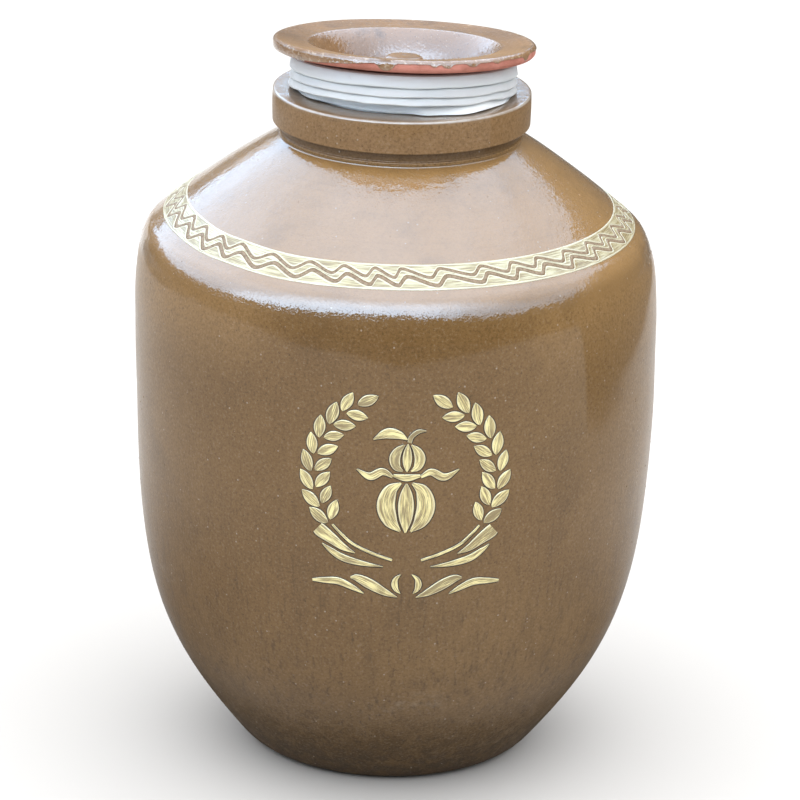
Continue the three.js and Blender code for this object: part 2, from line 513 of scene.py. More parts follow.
rubberLook = {
    "pale": (0.600, 0.634, 0.660, 1), "grey": (0.550, 0.588, 0.620, 1), "cuff": (0.655, 0.712, 0.755, 1),
    "low": (0.840, 0.885, 0.915, 1), "seat": (0.430, 0.438, 0.442, 1), "grime": (0.500, 0.510, 0.515, 1),
    "ior": 1.42, "milky": 0.12, "milkyDepth": (0.004, 0.004, 0.0045),
}


def makeRubber():
    material, tree, shader, place = newMaterial("sealSilicone")
    ring = layerOf(tree, "ring")  # -1 on the cuff's top, nought on the cuff, then fin by fin
    broad = spread(tree, cloud(tree, place, 22, 4), 0.35, 0.7)
    colour = layColour(tree, broad, rubberLook["pale"], rubberLook["grey"])
    colour = layCoats(tree, colour, rubberLook, (
        # painted light: the cuff, in the shade of the flange, is laid paler
        (spread(tree, ring, 0.6, 0.4), "cuff"),
        # painted light: the lowest fin, in the shade of the fin above, is laid paler still
        (spread(tree, ring, 2.4, 2.6), "low"),
        # the cuff's top: partly a scuff where the flange sits, partly painted shade where it catches the most
        # light
        (spread(tree, ring, -0.3, -0.7), "seat"),
        (spread(tree, cloud(tree, place, 130, 5, 0.65), 0.60, 0.82, 0.0, 0.35), "grime"),
    ))
    feed(tree, shader, {
        "Base Color": colour,
        "Roughness": spread(tree, cloud(tree, place, 60, 4), 0.3, 0.7, 0.36, 0.52),
        "IOR": rubberLook["ior"],
        "Subsurface Weight": rubberLook["milky"],
        "Subsurface Radius": rubberLook["milkyDepth"],
        "Subsurface Scale": 1.0,
        "Normal": bumps(tree, (
            (cloud(tree, place, 120, 3), 0.25, 0.0008), (cloud(tree, place, 900, 2), 0.12, 0.0002))),
    })
    return material


sealSilicone = makeRubber()

goldLook = {
    "pale": (0.940, 0.850, 0.425, 1), "mid": (0.660, 0.560, 0.258, 1), "rim": (0.840, 0.770, 0.500, 1),
    # painted shade: the band's gold is laid darker than the wreath's, as the shoulder catches more light
    "bandPale": (0.550, 0.495, 0.315, 1), "bandMid": (0.440, 0.360, 0.180, 1),
    "bandRim": (0.620, 0.580, 0.430, 1), "worn": (0.185, 0.125, 0.058, 1), "edge": (0.040, 0.024, 0.011, 1),
    "metal": 0.25, "coat": 0.4, "coatRough": 0.20, "coatIor": 1.6, "apart": (31.0, 17.0),
}


def makeGold(name, pale, mid, lip):  # brushed on along each stroke, so streaks follow the UV length
    material, tree, shader, place = newMaterial(name)
    uv = shade(tree, "UVMap", uv_map="UVMap")
    tone = layerOf(tree, "tone")
    rim = layerOf(tree, "rim")
    shift = point(tree, *(times(tree, tone, far) for far in goldLook["apart"]))
    along = vectorCalc(tree, "ADD", {0: uv, 1: shift})
    hair = streaks(tree, along, (1.1, 11.0, 1.0), 4, 0.6)
    patch = streaks(tree, along, (0.8, 2.6, 1.0), 3, 0.5)
    hairs = plus(tree, hair, spread(tree, tone, 0.60, 0.95, 0.0, 0.10))  # some strokes are more rubbed
    streak = spread(tree, plus(tree, hairs, times(tree, patch, 0.35)), 0.60, 0.78, 0.0, 0.80)
    outlineShadow = spread(tree, rim, -0.1, -0.6)  # dull dark line round each stroke: the paint's edge with a painted shadow
    bright = spread(tree, outlineShadow, 1.0, 0.0)
    colour = layColour(tree, spread(tree, patch, 0.35, 0.65), goldLook[pale], goldLook[mid])
    colour = layCoats(tree, colour, goldLook, (
        (streak, "worn"),
        (spread(tree, cloud(tree, place, 700, 2), 0.66, 0.76, 0.0, 0.5), "worn"),
        (spread(tree, rim, 0.35, 0.85, 0.0, 0.8), lip),
        (outlineShadow, "edge"),
    ))
    feed(tree, shader, {
        "Base Color": colour,
        "Roughness": plus(tree, spread(tree, hair, 0.3, 0.8, 0.30, 0.55), times(tree, outlineShadow, 0.4)),
        "Metallic": times(tree, spread(tree, streak, 0.0, 0.75, goldLook["metal"], 0.1), bright),
        "Coat Weight": times(tree, bright, goldLook["coat"]),
        "Coat Roughness": goldLook["coatRough"],
        "Coat IOR": goldLook["coatIor"],
        "Normal": bumps(tree, ((hair, 0.35, 0.0004), (cloud(tree, place, 420, 2), 0.15, 0.0003))),
    })
    return material


goldPaint = makeGold("goldPaint", "pale", "mid", "rim")
# painted shade: a darker copy of the gold for the brightly lit shoulder
bandGold = makeGold("bandGold", "bandPale", "bandMid", "bandRim")
print("materials made")


# The jar, turned as one skin: foot, belly, shoulder, bead, neck, collar, ledge, bore and the hollow inside
jar = {
    "foot": 0.108, "ring": 0.022, "recess": 0.004, "belly": 0.2224, "body": 0.540, "neck": 0.101,
    "collarFoot": 0.5524, "collar": 0.109, "height": 0.580, "mouth": 0.082, "boreEnd": 0.538, "wall": 0.012,
    "floor": 0.016, "facets": 256, "sway": 0.0007, "rings": 0.000012, "steadyFoot": (0.02, 0.12),
    "steadyNeck": (0.49, 0.535), "swayNoise": (0.9, 3.3), "ringNoise": (0.3, 75), "evenWithin": 0.09,
    "heelOut": 0.0257, "heelUp": 0.0283, "heelPull": 0.0121,
    # pulls on the wall's curves, as shares of the belly and of the body's height
    "lowPull": (0.952, 0.2104), "midPull": (1.0, 0.2902), "widest": (1.0, 0.713), "highPull": (1.0, 0.8489),
    "cornerPull": (0.938, 0.8531), "corner": (0.916, 0.8615), "slopePull": (0.591, 0.674),
    "curveRows": (9, 72, 28, 44),
    # height, and how far the wall leans sideways there in mm
    "lean": ((0.02, 0.0), (0.10, 0.0), (0.20, 0.6), (0.30, 0.9), (0.37, -0.4), (0.42, -1.4), (0.465, -2.8),
             (0.50, -1.6), (0.535, 0.0)),
}
wetLevel = {
    "belly": 0.38, "neck": 0.16, "collar": 0.20, "inside": 0.3, "slopeFrom": (0.437, 0.449),
    "ledgeFrom": (0.5770, 0.5782),
}


def outerWall():
    foot, body, neck = jar["foot"], jar["body"], jar["neck"]
    low, mid, wide, high, bend, edge = (
        (jar["belly"] * jar[name][0], body * jar[name][1])
        for name in ("lowPull", "midPull", "widest", "highPull", "cornerPull", "corner"))
    heel = (foot + jar["heelOut"], body * jar["heelUp"])
    across, up = jar["slopePull"]
    slope = (edge[0] + (neck - edge[0]) * across, edge[1] + (body - edge[1]) * up)
    curves = (
        ((foot, 0), (heel[0] - jar["heelPull"], 0), heel), (heel, low, mid, wide), (wide, high, bend, edge),
        (edge, slope, (neck, body)))
    path = [(foot, 0)]
    for controls, count in zip(curves, jar["curveRows"]):
        path += bezierPath(controls, count)[1:]
    return path


wallRows = outerWall()
heelRow = jar["curveRows"][0] - 1


def wobble(angle, z):  # the slow unevenness of a big thrown pot
    fade = smoothStep(*jar["steadyFoot"], z) * (1 - smoothStep(*jar["steadyNeck"], z))
    reach, rise = jar["swayNoise"]
    slow = ringNoise(angle, reach, z * rise, (4, 0))
    reach, rise = jar["ringNoise"]
    fine = ringNoise(angle, reach, z * rise, (0, 9))
    side = tableAt(jar["lean"], z) * mm
    return fade * (jar["sway"] * slow + jar["rings"] * fine) + side * math.sin(angle)


def wallAt(z):  # radius and outward normal of the wall at a height
    for (r0, z0), (r1, z1) in zip(wallRows[heelRow:], wallRows[heelRow + 1:]):
        if z <= z1:
            break
    f = (z - z0) / (z1 - z0)
    away = Vector((z1 - z0, r0 - r1)).normalized()
    return r0 + (r1 - r0) * f, away


def onWall(angle, z, lift):
    r, away = wallAt(z)
    return turned(r + wobble(angle, z) + away.x * lift, angle, z + away.y * lift)


def insideRows():  # the wall's own rows moved in by its thickness, from the mouth down
    rows = []
    for k in range(len(wallRows) - 4, heelRow, -2):
        r0, z0 = wallRows[k - 1]
        r1, z1 = wallRows[k + 1]
        away = Vector((z1 - z0, r0 - r1)).normalized()
        p = Vector(wallRows[k]) - away * jar["wall"]
        if p.x > jar["mouth"] + 0.005 and p.y > jar["floor"] + 0.010:
            rows.append(tuple(p))
    return rows


def jarRows():
    foot, recess, inset = jar["foot"], jar["recess"], jar["foot"] - jar["ring"]
    rows = softCorners([
        (0, recess, 0), (inset - recess, recess, 0.002), (inset, 0, 0.0012), (foot, 0, 0)], 3, 0.03)
    rows += wallRows[1:]
    neck, collar, under, top = jar["neck"], jar["collar"], jar["collarFoot"], jar["height"]
    mouth, body, end = jar["mouth"], jar["body"], jar["boreEnd"]
    rows += softCorners([  # bead, neck, collar, ledge, bore
        (neck, body, 0), (neck + 0.0015, body + 0.0010, 0.0008), (neck + 0.0013, body + 0.0032, 0.0009),
        (neck, body + 0.0042, 0.0008), (neck, under, 0.0006), (collar - 0.0004, under, 0.0007),
        (collar, under + 0.014, 0.006), (collar - 0.0003, top, 0.0021), (mouth, top, 0.0022),
        (mouth, end, 0.003), (mouth + 0.004, end - 0.0025, 0),
    ], 6, 0.0034, 0.0004)[1:]
    outsideCount = len(rows) - 8
    rows += insideRows()
    (last, low), floor = rows[-1], jar["floor"]
    rows += softCorners([
        (last, low, 0), (last - 0.006, floor, 0.009), (0.060, floor, 0), (0, floor, 0)], 6, 0.03)[1:]
    return rows, outsideCount


def wetness(r, z):  # how thick the shine lies: full on the shoulder, little on upright walls
    belly, collar = wetLevel["belly"], wetLevel["collar"]
    if z < jar["body"] + 0.0005:
        return belly + (1 - belly) * smoothStep(*wetLevel["slopeFrom"], z)
    if z < jar["collarFoot"] + 0.003:
        return wetLevel["neck"]
    if r > jar["mouth"] + 0.003:
        return collar + (1 - collar) * smoothStep(*wetLevel["ledgeFrom"], z)
    return wetLevel["inside"]


def makeJar():
    rows, outside = jarRows()

    def place(i, angle):
        r, z = rows[i]
        push = wobble(angle, z) if r > jar["evenWithin"] else 0.0
        return turned(r + push, angle, z)

    n = jar["facets"]
    verts, faces = latheMesh(rows, n, place)
    inner, wet = [0.0], [0.0]
    for i in range(1, len(rows) - 1):
        inner += [1.0 if i > outside else 0.0] * n
        wet += [wetLevel["inside"] if i > outside else wetness(*rows[i])] * n
    layers = {"inner": inner + [1.0], "wet": wet + [wetLevel["inside"]]}
    return makePiece("jar_skin", verts, faces, jarGlaze, layers=layers)


jarSkin = makeJar()
print("jar turned:", len(jarSkin.data.polygons), "faces")


# Gold band on the shoulder: three strips with two waving scratches left open between them
band = {
    "top": 0.4818, "bottom": 0.4660, "slant": 0.0226, "lineA": 0.0025, "lineB": 0.0032, "widest": 0.0030,
    "radius": 0.19, "lip": 0.0012, "steps": 26, "smooth": 3,
    "crests": (-77.8, -68.0, -59.3, -51.1, -43.1, -32.6, -22.0, -13.3, -5.7, 0.9, 10.4, 21.2, 29.7, 37.4,
               46.9, 56.6, 64.5, 73.5, 83.0),
    "backWaves": 22, "crest": 0.150, "trough": 0.515, "apart": 0.29, "trail": 0.17, "lowerScale": 1.04,
    "crestSeed": 7, "crestJitter": 0.14, "troughSeed": 11, "troughJitter": 0.03,
    "fallStraight": 0.55, "riseStraight": 0.25, "narrowest": 0.02, "tuck": 0.012,
    # bearing, and how much of a wave is its slow fall
    "fall": ((-180, 0.57), (-45, 0.57), (-8, 0.79), (48, 0.79), (85, 0.67), (180, 0.67)),
    # bearing, and how far the band is raised there in mm
    "drift": ((-180, 0.0), (-130, 2.4), (-85, 4.6), (-70, 4.2), (-48, 2.0), (-25, 0.0), (180, 0.0)),
}


def bandHeight(angle, v):  # v runs from the top edge to the bottom edge
    return band["top"] + (band["bottom"] - band["top"]) * v + tableAt(band["drift"], bearing(angle)) * mm


def bandCrests():
    dice = random.Random(band["crestSeed"])
    crests = [math.radians(c) for c in band["crests"]]
    count, off = band["backWaves"], band["crestJitter"]
    step = (crests[0] + 2 * math.pi - crests[-1]) / count
    crests += [crests[-1] + step * (k + 1) + dice.uniform(-off, off) * step for k in range(count - 1)]
    return crests


def eased(u, straight):  # part straight line, part half a wave
    return straight * u + (1 - straight) * (0.5 - 0.5 * math.cos(math.pi * u))


def waveTable():
    crests = bandCrests()
    dice = random.Random(band["troughSeed"])
    off = band["troughJitter"]
    rows = []
    for k, start in enumerate(crests):
        end = crests[k + 1] if k + 1 < len(crests) else crests[0] + 2 * math.pi
        fall = tableAt(band["fall"], bearing(start))
        deep = band["trough"] + dice.uniform(-off, off)
        for s in range(band["steps"]):
            t = s / band["steps"]
            if t < fall:
                v = eased(t / fall, band["fallStraight"])
            else:
                v = 1 - eased((t - fall) / (1 - fall), band["riseStraight"])
            rows.append((start + (end - start) * t, band["crest"] + (deep - band["crest"]) * v))
    near = range(-(band["smooth"] // 2), band["smooth"] // 2 + 1)
    for again in range(2):  # rounds the turns off
        waves = [v for _, v in rows]
        n = len(waves)
        rows = [(a, sum(waves[(k + d) % n] for d in near) / len(near)) for k, (a, _) in enumerate(rows)]
    return rows


def makeBand():
    rows = waveTable()
    n = len(rows)
    lag = round(band["steps"] * band["trail"])
    lineA = [v for _, v in rows]
    lineB = [lineA[(k - lag) % n] * band["lowerScale"] + band["apart"] for k in range(n)]

    def halfWidths(line, wide):
        halves = []
        for k in range(n):
            turn = (rows[(k + 1) % n][0] - rows[k - 1][0]) % (2 * math.pi)
            rise = (line[(k + 1) % n] - line[k - 1]) * band["slant"] / (band["radius"] * turn)
            halves.append(min(0.5 * wide * math.sqrt(1 + rise * rise), band["widest"]) / band["slant"])
        return halves

    halfA = halfWidths(lineA, band["lineA"])
    halfB = halfWidths(lineB, band["lineB"])
    edges = [
        ([0.0] * n, [lineA[k] - halfA[k] for k in range(n)]),
        ([lineA[k] + halfA[k] for k in range(n)], [lineB[k] - halfB[k] for k in range(n)]),
        ([lineB[k] + halfB[k] for k in range(n)], [1.0] * n),
    ]
    verts, faces, uvs, tones, rims = [], [], [], [], []
    for s, (upper, lower) in enumerate(edges):
        rings = []
        for k in range(n):
            angle = rows[k][0]
            a = upper[k]
            b = max(lower[k], a + band["narrowest"])
            rib = min(band["lip"] / band["slant"], (b - a) * 0.3)  # pale raised lip along each scratch
            section = (  # across, height in mm, paleness
                (a, -0.12, 1), (a, 0.16, 1), (a + rib * 0.5, 0.36, 1), (a + rib, 0.34, 0.9),
                (a + rib * 1.4, 0.22, 0), (b - rib * 1.4, 0.22, 0),
                (b - rib, 0.34, 0.9), (b - rib * 0.5, 0.36, 1), (b, 0.16, 1), (b, -0.12, 1))
            ring = []
            for v, lift, pale in section:
                waver = 0.05 * ringNoise(angle, 30, v * 6 + s)
                ring.append(onWall(angle, bandHeight(angle, v), (lift + waver * (lift > 0)) * mm))
                uvs.append((angle * band["radius"] * 40, v * 2.6))
                tones.append(0.3 + 0.1 * s)
                rims.append(pale)
            rings.append(ring)
        addRings(verts, faces, rings, loop=True)
    strips = makePiece("gold_band", verts, faces, bandGold, uvs, {"tone": tones, "rim": rims})
    verts, faces = [], []
    for line, half in ((lineA, halfA), (lineB, halfB)):
        rings = []
        for k in range(n):
            angle = rows[k][0]
            wide = half[k] + band["tuck"]
            section = ((-wide, -0.12), (-wide, 0.06), (0, 0.04), (wide, 0.06), (wide, -0.12))
            rings.append([onWall(angle, bandHeight(angle, line[k] + v), lift * mm) for v, lift in section])
        addRings(verts, faces, rings, loop=True)
    return strips, makePiece("band_scratches", verts, faces, scrapedGlaze)


goldBand, bandScratches = makeBand()
print("gold band laid:", len(goldBand.data.polygons) + len(bandScratches.data.polygons), "faces")


# Wreath on the belly, drawn flat in millimetres and then bent round the wall
emblem = {
    "turn": math.radians(2.78), "height": 0.3199, "radius": 0.2224, "middle": 0.65, "slope": -0.031,
    "thick": 0.34, "border": 0.85, "thinnest": 0.25, "fullHeight": 1.2, "stepsEach": 14,
    # across, height, paleness of the brush edge; below nought it is the dark line round the stroke, a painted
    # shadow
    "section": ((-1, -0.4, -1), (-1, 0.12, -1), (-1, 0.16, -1), (-1, 0.4, 1), (-0.86, 0.95, 0.95),
                (-0.68, 0.8, 0.1), (-0.3, 0.7, 0), (0.05, 0.9, 0), (0.4, 0.68, 0), (0.7, 0.8, 0.1),
                (0.87, 1.0, 0.95), (1, 0.4, 1), (1, 0.16, -1), (1, 0.12, -1), (1, -0.4, -1)),
    "outside": (-1, -1, 0, 0, 0, 0, 0, 0, 0, 0, 0, 0, 0, 1, 1),  # the points that lie out on the dark line
}


def acrossMiddle(x, y):  # the other side of the wreath, whose middle line leans a little
    return 2 * (emblem["middle"] + emblem["slope"] * y) - x


def bendOn(x, y, lift):  # metres on the flat drawing
    return onWall(emblem["turn"] + x / emblem["radius"], emblem["height"] + y, lift)


def brushRings(points, count, flat):  # points are x, y, width in millimetres
    path = smoothPath(points, count)
    rings, uvs, rims, length = [], [], [], 0.0
    for k, (x, y, w) in enumerate(path):
        ax, ay, _ = path[max(k - 1, 0)]
        bx, by, _ = path[min(k + 1, count - 1)]
        size = math.hypot(bx - ax, by - ay) or 1.0
        nx, ny = -(by - ay) / size, (bx - ax) / size
        half = max(w, emblem["thinnest"]) * 0.5
        if k:
            length += math.hypot(x - path[k - 1][0], y - path[k - 1][1])
        ring = []
        for (f, h, pale), out in zip(emblem["section"], emblem["outside"]):
            reach = half * f + out * emblem["border"]
            px, py = (x + nx * reach) * mm, (y + ny * reach) * mm
            lift = h * emblem["thick"] * mm * (1.0 if h < 0 else min(1.0, half / emblem["fullHeight"]))
            ring.append((px, py, lift) if flat else bendOn(px, py, lift))
            uvs.append((length * 0.06, f * half * 0.11))
            rims.append(pale)
        rings.append(ring)
    return rings, uvs, rims


def brushPiece(name, strokes, material, seed):
    dice = random.Random(seed)
    verts, faces, uvs, tones, rims = [], [], [], [], []
    for stroke in strokes:
        rings, uv, rim = brushRings(stroke, emblem["stepsEach"] * len(stroke), False)
        tones += [dice.random()] * addRings(verts, faces, rings)
        uvs += uv
        rims += rim
    return makePiece(name, verts, faces, material, uvs, {"tone": tones, "rim": rims})


def mirrored(strokes):
    return [[(acrossMiddle(x, y), y, w) for x, y, w in stroke] for stroke in strokes]


# Geometry trees, for the parts that repeat

def newTree(name, sockets):
    tree = bpy.data.node_groups.new(name, "GeometryNodeTree")
    for label, kind in {"Geometry": "Geometry", **sockets, "Material": "Material"}.items():
        tree.interface.new_socket(label, in_out="INPUT", socket_type="NodeSocket" + kind)
    tree.interface.new_socket("Geometry", in_out="OUTPUT", socket_type="NodeSocketGeometry")
    return tree, tree.nodes.new("NodeGroupInput").outputs


def endTree(tree, geometry, given):
    done = geo(tree, "SetMaterial", {"Geometry": geometry, "Material": given["Material"]})
    addNode(tree, "NodeGroupOutput", {0: done})
    return tree


def growNodes(obj, tree, values):  # runs the tree on obj and leaves a plain mesh
    modifier = obj.modifiers.new(tree.name, "NODES")
    modifier.node_group = tree
    for item in tree.interface.items_tree:
        if item.in_out == "INPUT" and item.name in values:
            modifier[item.identifier] = values[item.name]
    graph = bpy.context.evaluated_depsgraph_get()
    mesh = bpy.data.meshes.new_from_object(obj.evaluated_get(graph))
    obj.modifiers.remove(modifier)
    old = obj.data
    obj.data = mesh
    bpy.data.meshes.remove(old)
    mesh.name = obj.name
    return mesh


def stored(tree, name, kind="FLOAT"):
    return geo(tree, "InputNamedAttribute", {"Name": name}, data_type=kind)


def store(tree, geometry, name, value, kind="FLOAT", domain="INSTANCE"):
    inputs = {"Geometry": geometry, "Name": name, "Value": value}
    return geo(tree, "StoreNamedAttribute", inputs, data_type=kind, domain=domain)


def chance(tree, low, high, seed):
    return wire(tree, "FunctionNodeRandomValue", {2: low, 3: high, "Seed": seed}, 1, data_type="FLOAT")


ears = {
    "stem": ((-64.7, -41.4), (-71.1, -29.0), (-74.8, -13.8), (-74.6, 1.0), (-70.6, 15.8), (-65.1, 29.2),
             (-55.1, 40.8), (-43.8, 51.0), (-31.6, 58.3)),
    "grain": ((-9.6, 0, 0.5), (-7.2, 0.3, 5.0), (-2.8, 0.3, 8.9), (1.8, 0.0, 9.2), (6.2, -0.2, 5.8),
              (9.8, -0.3, 0.4)),
    "grainRings": 18, "jitter": 0.06,
    "grow": {"Pairs": 9, "Lean": math.radians(35.5), "Skew": math.radians(7.0), "Offset": 6.9 * mm,
             "Spread": 0.05, "Inner Size": 0.93, "Seed": 5},
}


def makeEarTree():
    tree, given = newTree("wheatEar", {
        "Grain": "Object", "Pairs": "Int", "Lean": "Float", "Skew": "Float", "Offset": "Float",
        "Spread": "Float", "Inner Size": "Float", "Seed": "Int"})
    curve = geo(tree, "MeshToCurve", {"Mesh": given["Geometry"]})
    curve = geo(tree, "ResampleCurve", {"Curve": curve, "Count": given["Pairs"]}, mode="COUNT")
    tipOnly = geo(tree, "CurveEndpointSelection", {"Start Size": 0, "End Size": 1})
    curve = store(tree, curve, "tip", tipOnly, "BOOLEAN", "POINT")
    dots = addNode(tree, "GeometryNodeCurveToPoints", {"Curve": curve}, mode="EVALUATED").outputs
    tip = stored(tree, "tip", "BOOLEAN")
    low = wire(tree, "FunctionNodeBooleanMath", {0: tip}, operation="NOT")
    wayX, wayY, _ = addNode(tree, "ShaderNodeSeparateXYZ", {0: dots["Tangent"]}).outputs
    heading = calc(tree, "ARCTAN2", wayY, wayX)
    across = point(tree, times(tree, wayY, -1.0), wayX)
    grain = geo(tree, "ObjectInfo", {"Object": given["Grain"], "As Instance": True}, "Geometry")
    outside = stored(tree, "outside")
    least = calc(tree, "SUBTRACT", 1.0, given["Spread"])
    most = plus(tree, 1.0, given["Spread"])
    join = tree.nodes.new("GeometryNodeJoinGeometry")
    for number, side in enumerate((1.0, -1.0, 0.0)):
        shift = vectorCalc(tree, "SCALE", {0: across, "Scale": times(tree, given["Offset"], side)})
        spots = geo(tree, "SetPosition", {"Geometry": dots["Points"], "Offset": shift})
        away = times(tree, outside, side)  # 1 on the outer row, -1 on the inner
        lean = calc(tree, "SUBTRACT", given["Lean"], times(tree, given["Skew"], away))
        turn = plus(tree, heading, times(tree, lean, side))
        seed = plus(tree, given["Seed"], float(number))
        turn = plus(tree, turn, chance(tree, -ears["jitter"], ears["jitter"], seed))
        turn = wire(tree, "FunctionNodeEulerToRotation", {0: point(tree, z=turn)})
        size = chance(tree, least, most, plus(tree, seed, 20.0))
        size = times(tree, size, spread(tree, away, -1.0, 1.0, given["Inner Size"], 1.0))
        put = geo(tree, "InstanceOnPoints", {
            "Points": spots, "Selection": low if side else tip, "Instance": grain, "Rotation": turn,
            "Scale": size})
        put = store(tree, put, "tone", chance(tree, 0.0, 1.0, plus(tree, seed, 40.0)))
        tree.links.new(put, join.inputs[0])
    return endTree(tree, geo(tree, "RealizeInstances", {0: join.outputs[0]}), given)


def makeEars():
    rings, uvs, rims = brushRings(ears["grain"], ears["grainRings"], True)
    grain = makePiece("grain_pattern", *ringMesh(rings), None, uvs, {"rim": rims})
    stem = [(x * mm, y * mm, 0.0) for x, y in ears["stem"]]
    other = [(acrossMiddle(x, y) * mm, y * mm, 0.0) for x, y in ears["stem"]]
    n = len(stem)
    mesh = bpy.data.meshes.new("wheat_ears")
    mesh.from_pydata(stem + other, [(i + k, i + k + 1) for i in (0, n) for k in range(n - 1)], [])
    addLayer(mesh, "outside", [1.0] * n + [-1.0] * n)
    obj = addObject("wheat_ears", mesh)
    mesh = growNodes(obj, makeEarTree(), {"Grain": grain, "Material": goldPaint, **ears["grow"]})
    bpy.data.objects.remove(grain)
    for v in mesh.vertices:
        v.co = bendOn(*v.co)
    mesh.shade_smooth()
    return obj


wheatEars = makeEars()
print("wheat ears grown:", len(wheatEars.data.polygons), "faces")

sprays = {
    "stalk": ((-59.2, -51.2, 1.7), (-51.4, -58.9, 2.1), (-41.7, -66.9, 2.3), (-26.2, -74.0, 2.4),
              (-8.9, -79.8, 2.0)),
    "wide": ((-71.6, -55.4, 11.0), (-68.5, -58.0, 12.0), (-59.8, -63.6, 9.5), (-50.1, -70.3, 6.0),
             (-39.8, -74.9, 0.6)),
    "slim": ((-67.7, -68.9, 0.6), (-60.0, -74.4, 4.6), (-50.0, -79.9, 6.0), (-35.6, -83.4, 4.6),
             (-16.2, -86.0, 0.5)),
    "lowOuter": ((-76.2, -102.9, 2.2), (-66.0, -102.0, 5.0), (-53.6, -101.6, 6.2), (-41.4, -106.2, 4.6),
                 (-31.9, -111.1, 0.6)),
    "lowWide": ((-43.3, -97.0, 1.6), (-37.0, -97.4, 6.6), (-27.0, -102.0, 9.0), (-15.0, -108.6, 6.4),
                (-3.7, -113.5, 0.8)),
    "crescent": ((-1.1, -92.5, 0.6), (-5.2, -96.6, 3.6), (-6.2, -101.8, 5.4), (-4.6, -106.4, 3.8),
                 (-1.3, -110.0, 0.5)),
}
leafStrokes = list(sprays.values())
leafSprays = brushPiece("leaf_sprays", leafStrokes + mirrored(leafStrokes), goldPaint, seed=3)

# A plain ribbed double gourd with a tied ribbon in the middle of the wreath
gourdCentre = (1.4, -9.6)
gourd = {
    "lowerLeft": ((-4.6, -2, 1.6), (-13, -9, 11), (-16.4, -22, 15), (-12.6, -35, 12), (-4.2, -44.5, 1.6)),
    "lowerMiddle": ((0, -2.6, 1.4), (0, -11, 9.4), (0, -22.5, 13.0), (0, -34.5, 10.0), (0, -45.6, 1.4)),
    "lowerRight": ((4.6, -2.0, 1.6), (13.0, -9, 11), (16.4, -22, 15.0), (12.6, -35, 12), (4.2, -44.5, 1.6)),
    "upperLeft": ((-3.4, 8.2, 1.2), (-8.4, 12, 6.6), (-10.2, 19, 8.8), (-7.6, 25.8, 6.6), (-2.4, 31, 1.2)),
    "upperMiddle": ((0, 7.8, 1), (0, 13, 5.8), (0, 19.5, 7.6), (0.2, 26, 5.6), (0.4, 31.8, 1)),
    "upperRight": ((3.4, 8.2, 1.2), (8.4, 12, 6.6), (10.4, 19, 8.8), (8, 25.8, 6.6), (3.2, 31, 1.2)),
    "stem": ((1.5, 33, 3.6), (3, 38, 3.6), (8.5, 42.5, 3.4), (15, 43, 0.8)),
    "leaf": ((0, 35.5, 0.8), (-7.5, 39.5, 7), (-17, 40.5, 8.4), (-28, 35, 0.7)),
    "tie": ((-11, 4.4, 2.4), (0, 2.6, 6), (11, 4.4, 2.4)),
    "tailLeft": ((-11.5, 3.4, 2.4), (-20, 7.5, 6), (-30, 3.0, 6.4), (-41, 8.5, 0.8)),
    "tailRight": ((11.5, 3.4, 2.4), (20, 7.5, 5.8), (31, 2.8, 6.2), (43, 9, 0.8)),
}
gourdStrokes = [
    [(x + gourdCentre[0], y + gourdCentre[1], w) for x, y, w in stroke] for stroke in gourd.values()]
gourdMark = brushPiece("gourd_mark", gourdStrokes, goldPaint, seed=9)
print("leaves and gourd painted")


# The lid stands crooked in the mouth, front edge up
lidPlace = {"raise": 0.6117, "tilt": math.radians(5.15), "roll": math.radians(0.6), "aside": 0.0009}


def lidToJar(x, y, z):
    c, s = math.cos(lidPlace["tilt"]), math.sin(lidPlace["tilt"])
    k, t = math.cos(lidPlace["roll"]), math.sin(lidPlace["roll"])
    y, z = y * c + z * s, z * c - y * s
    return (x * k + z * t + lidPlace["aside"], y, z * k - x * t + lidPlace["raise"])


lidSize = {
    "facets": 288, "glaze": 0.00035, "step": 0.00025, "below": 16, "above": 22, "dull": 0.06,
    "plug": ((0, -0.056, 0), (0.0690, -0.056, 0.008), (0.0749, -0.0064, 0.0012), (0.0990, -0.0014, 0)),
    # from under the flange, round its edge, on to its top
    "rim": ((0.0990, -0.0014, 0), (0.1075, 0.0000, 0.0012), (0.1099, 0.0024, 0.0014),
            (0.1101, 0.0078, 0.0014), (0.1084, 0.0099, 0.0016), (0.0990, 0.0089, 0)),
    # the flange's top, the bowl and the knob
    "top": ((0.099, 0.0089, 0), (0.088, 0.0074, 0.003), (0.0806, 0.0068, 0.0012), (0.0764, 0.0036, 0.003),
            (0.0722, -0.0016, 0.004), (0.067, -0.012, 0.006), (0.0622, -0.037, 0.005), (0.057, -0.044, 0.006),
            (0.016, -0.044, 0.003), (0.0115, -0.04, 0.003), (0.011, -0.0215, 0.003), (0.013, -0.017, 0.002),
            (0.0172, -0.0126, 0.004), (0.0168, -0.0062, 0.003), (0.013, -0.0028, 0.003), (0, -0.003, 0)),
    # bearing, and how far along the rim the clay is bare there, before its unevenness and the runs
    "bareTop": ((-180, 0.0106), (-48, 0.0106), (-4, 0.0166), (75, 0.0166), (150, 0.0133), (180, 0.0133)),
    "uneven": ((0.0009, 5, 2), (0.0005, 22, 6)), "bareLeast": 0.0050, "chip": 0.0014, "chipFrom": 0.30,
    "chipEdge": (0.1085, 0.1100), "warp": 0.0009, "bowlEdge": (0.0822, 0.0808), "knobFoot": (0.018, 0.026),
    # runs of glaze over the bare rim: bearing, width in degrees, length in mm
    "runs": ((-7.5, 3.4, 6.0), (13, 1.5, 1.6), (19, 2.0, 2.6), (31, 2.4, 2.2), (44, 1.6, 1.5), (-52, 3, 3),
             (66, 2.4, 3.6), (118, 3, 4), (171, 3, 3.5), (-128, 2.4, 4)),
}


